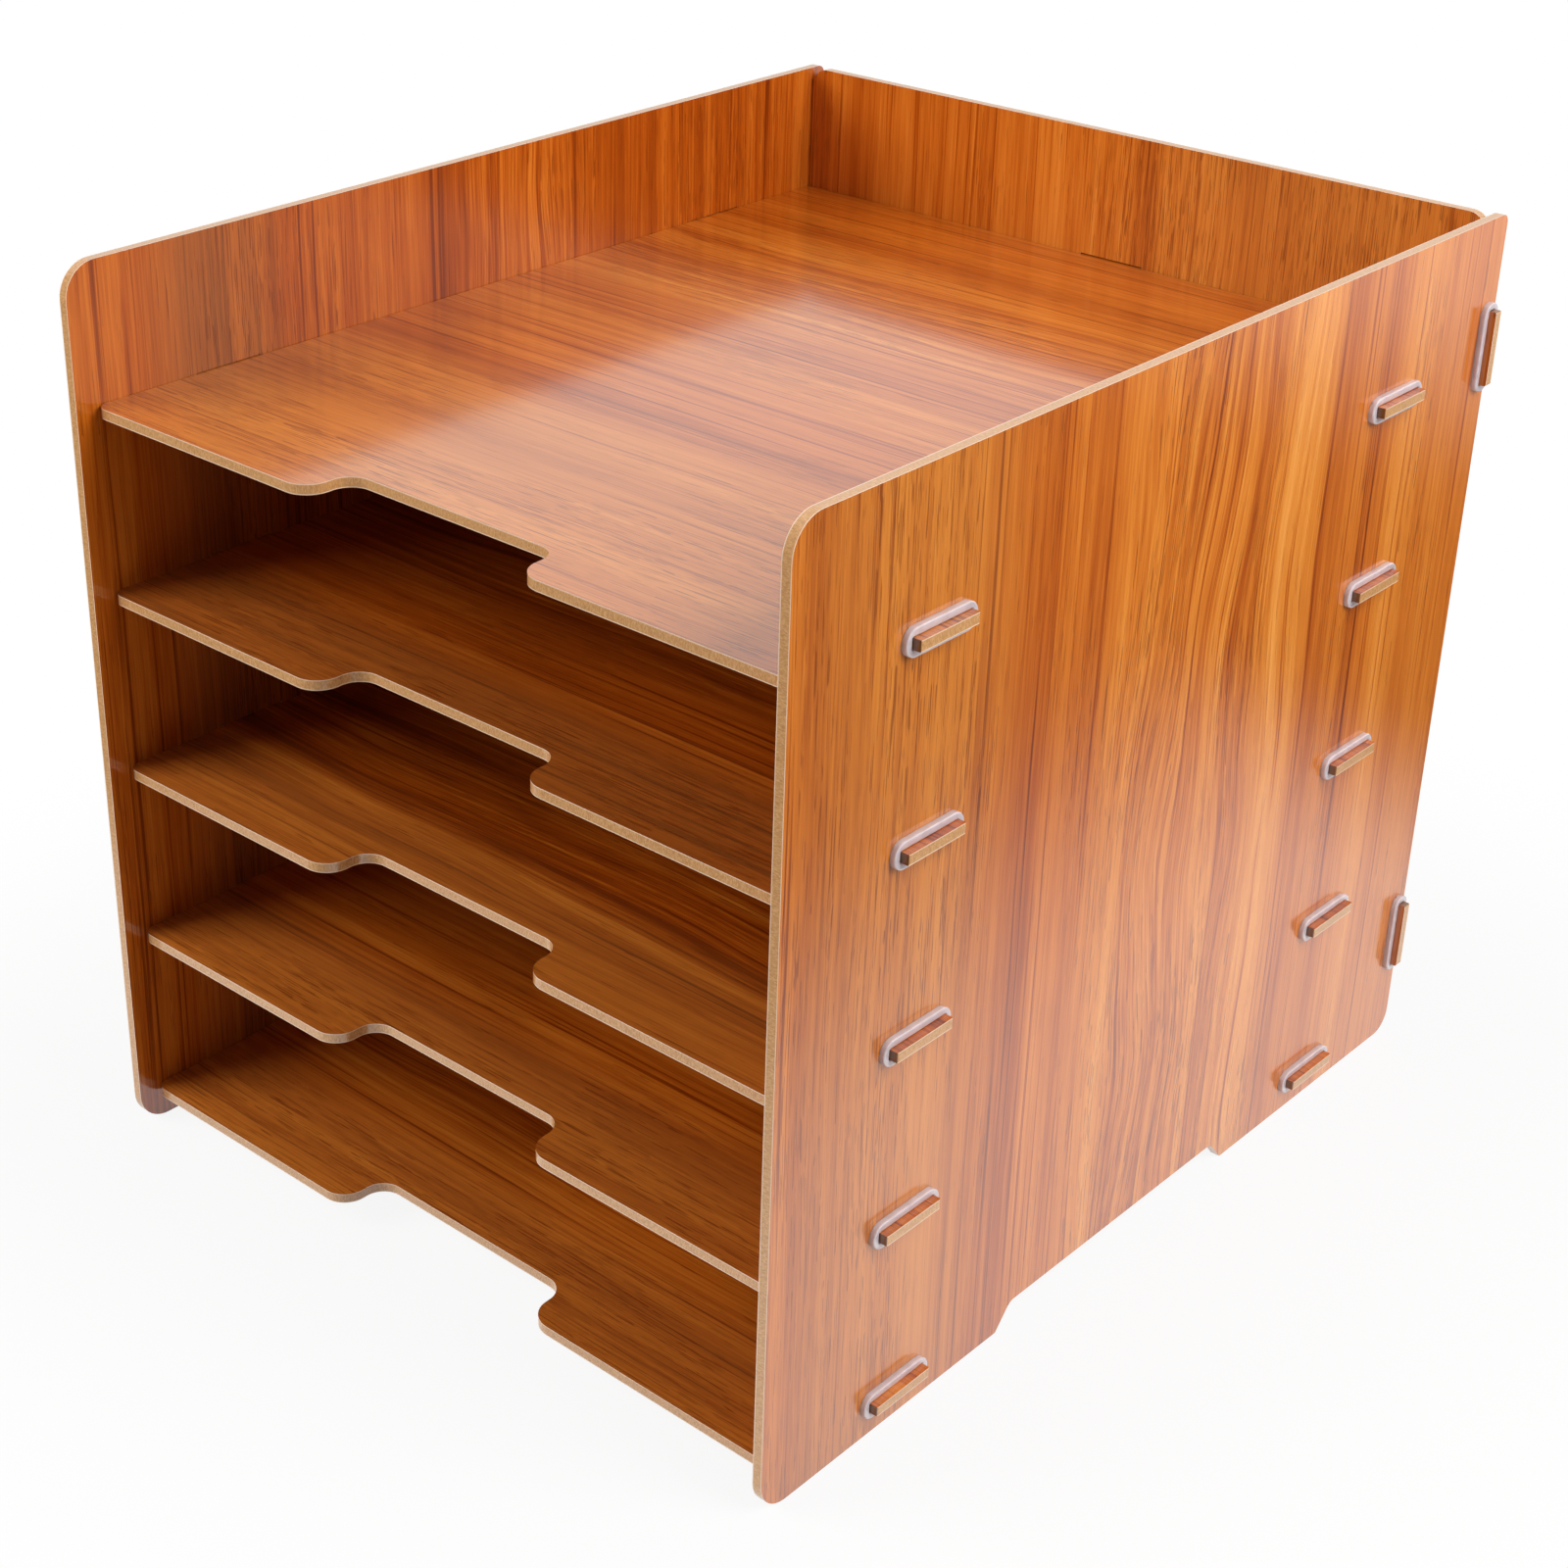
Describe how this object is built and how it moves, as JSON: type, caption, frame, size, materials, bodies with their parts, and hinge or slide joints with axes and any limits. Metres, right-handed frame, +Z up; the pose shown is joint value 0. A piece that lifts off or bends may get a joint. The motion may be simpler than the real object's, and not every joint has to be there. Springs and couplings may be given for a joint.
{
  "type": "tiered desk organizer",
  "caption": "Open-front tiered desk rack for A4 paper, made of wood-grain film-faced boards with notched shelves, locked by tabs and push-on plastic rings.",
  "frame": {"origin": "on the surface the rack stands on, under the middle of its outline", "axes": "+X to the right as seen from the open front, +Y to the rear, +Z up"},
  "size_m": [0.263, 0.315, 0.274],
  "materials": {
    "wood_grain_board": "fibreboard with a semi-gloss wood-grain film on both faces and bare edges",
    "frosted_plastic": "smooth translucent pale plastic"
  },
  "bodies": {
    "root": {"left_side_panel": "wood_grain_board", "right_side_panel": "wood_grain_board", "back_panel": "wood_grain_board", "top_shelf": "wood_grain_board", "upper_shelf": "wood_grain_board", "middle_shelf": "wood_grain_board", "lower_shelf": "wood_grain_board", "bottom_shelf": "wood_grain_board", "right_front_ring_1": "frosted_plastic", "right_front_ring_2": "frosted_plastic", "right_front_ring_3": "frosted_plastic", "right_front_ring_4": "frosted_plastic", "right_front_ring_5": "frosted_plastic", "right_rear_ring_1": "frosted_plastic", "right_rear_ring_2": "frosted_plastic", "right_rear_ring_3": "frosted_plastic", "right_rear_ring_4": "frosted_plastic", "right_rear_ring_5": "frosted_plastic", "right_back_ring_upper": "frosted_plastic", "right_back_ring_lower": "frosted_plastic", "left_front_ring_1": "frosted_plastic", "left_front_ring_2": "frosted_plastic", "left_front_ring_3": "frosted_plastic", "left_front_ring_4": "frosted_plastic", "left_front_ring_5": "frosted_plastic", "left_rear_ring_1": "frosted_plastic", "left_rear_ring_2": "frosted_plastic", "left_rear_ring_3": "frosted_plastic", "left_rear_ring_4": "frosted_plastic", "left_rear_ring_5": "frosted_plastic", "left_back_ring_upper": "frosted_plastic", "left_back_ring_lower": "frosted_plastic", "rear_ring_1": "frosted_plastic", "rear_ring_2": "frosted_plastic", "rear_ring_3": "frosted_plastic", "rear_ring_4": "frosted_plastic", "rear_ring_5": "frosted_plastic"}
  },
  "joints": []
}
